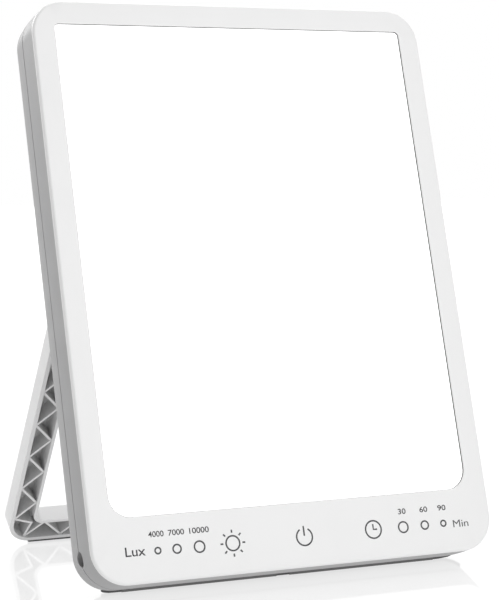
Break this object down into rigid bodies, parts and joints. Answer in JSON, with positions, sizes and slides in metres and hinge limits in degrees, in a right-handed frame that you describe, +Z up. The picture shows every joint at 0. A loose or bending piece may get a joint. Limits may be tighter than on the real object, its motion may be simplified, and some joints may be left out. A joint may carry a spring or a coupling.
{
  "type": "light therapy lamp",
  "caption": "Thin lit panel that leans back on a folding U-shaped stand, with touch marks along its lower border and a power inlet in its side.",
  "frame": {"origin": "on the floor, under the middle of the lamp's box as it stands open", "axes": "+Z up, +X to the right of the lit face as it is looked at, -Y the way the lit face looks"},
  "size_m": [0.18, 0.1334, 0.2359],
  "materials": {
    "casing_grey": "fine satin moulding texture",
    "bezel_white": "smooth satin white",
    "stand_white": "smooth satin white",
    "lit_diffuser": "opal sheet, lit evenly from behind",
    "clear_acrylic": "clear polished",
    "white_film": "white reflecting film",
    "tray_aluminium": "mill finish",
    "can_aluminium": "bright can",
    "strip_board": "white solder mask",
    "green_board": "green solder mask",
    "led_phosphor": "phosphor in a white cup",
    "black_plastic": "moulded black",
    "black_foam": "closed-cell foam",
    "contact_foam": "metallised fabric over foam",
    "plug_nylon": "natural nylon",
    "ferrite": "dark ferrite",
    "pin_brass": "bright",
    "zinc_steel": "zinc plated",
    "foot_rubber": "soft grey rubber"
  },
  "bodies": {
    "panel": {"rear_cover": "casing_grey", "mid_frame": "casing_grey", "front_bezel": "bezel_white", "diffuser": "lit_diffuser", "prism_film": "clear_acrylic", "light_guide": "clear_acrylic", "reflector": "white_film", "light_tray": "tray_aluminium", "led_strip_right": "strip_board", "led_strip_left": "strip_board", "leds_right": "led_phosphor", "leds_left": "led_phosphor", "touch_board": "green_board", "touch_pads": "contact_foam", "indicator_lights": "led_phosphor", "level_light_shield": "black_foam", "timer_light_shield": "black_foam", "touch_board_screws": "zinc_steel", "touch_chip": "black_plastic", "touch_board_plug": "plug_nylon", "driver_board": "green_board", "driver_screws": "zinc_steel", "driver_choke": "ferrite", "driver_capacitors": "can_aluminium", "driver_chips": "black_plastic", "dc_jack_body": "black_plastic", "dc_jack_pin": "pin_brass", "casing_screws": "zinc_steel", "hinge_pin_right": "zinc_steel", "hinge_pin_left": "zinc_steel", "hinge_washer_right": "plug_nylon", "hinge_washer_left": "plug_nylon", "casing_feet": "foot_rubber"},
    "stand": {"stand_frame": "stand_white", "stand_feet": "foot_rubber"}
  },
  "joints": [
    {"name": "stand_hinge", "type": "hinge", "parent": "panel", "child": "stand", "pos_m": [0, -0.01055, 0.1109], "axis": [1, 0, 0], "range_deg": [-48.24, 0]}
  ]
}
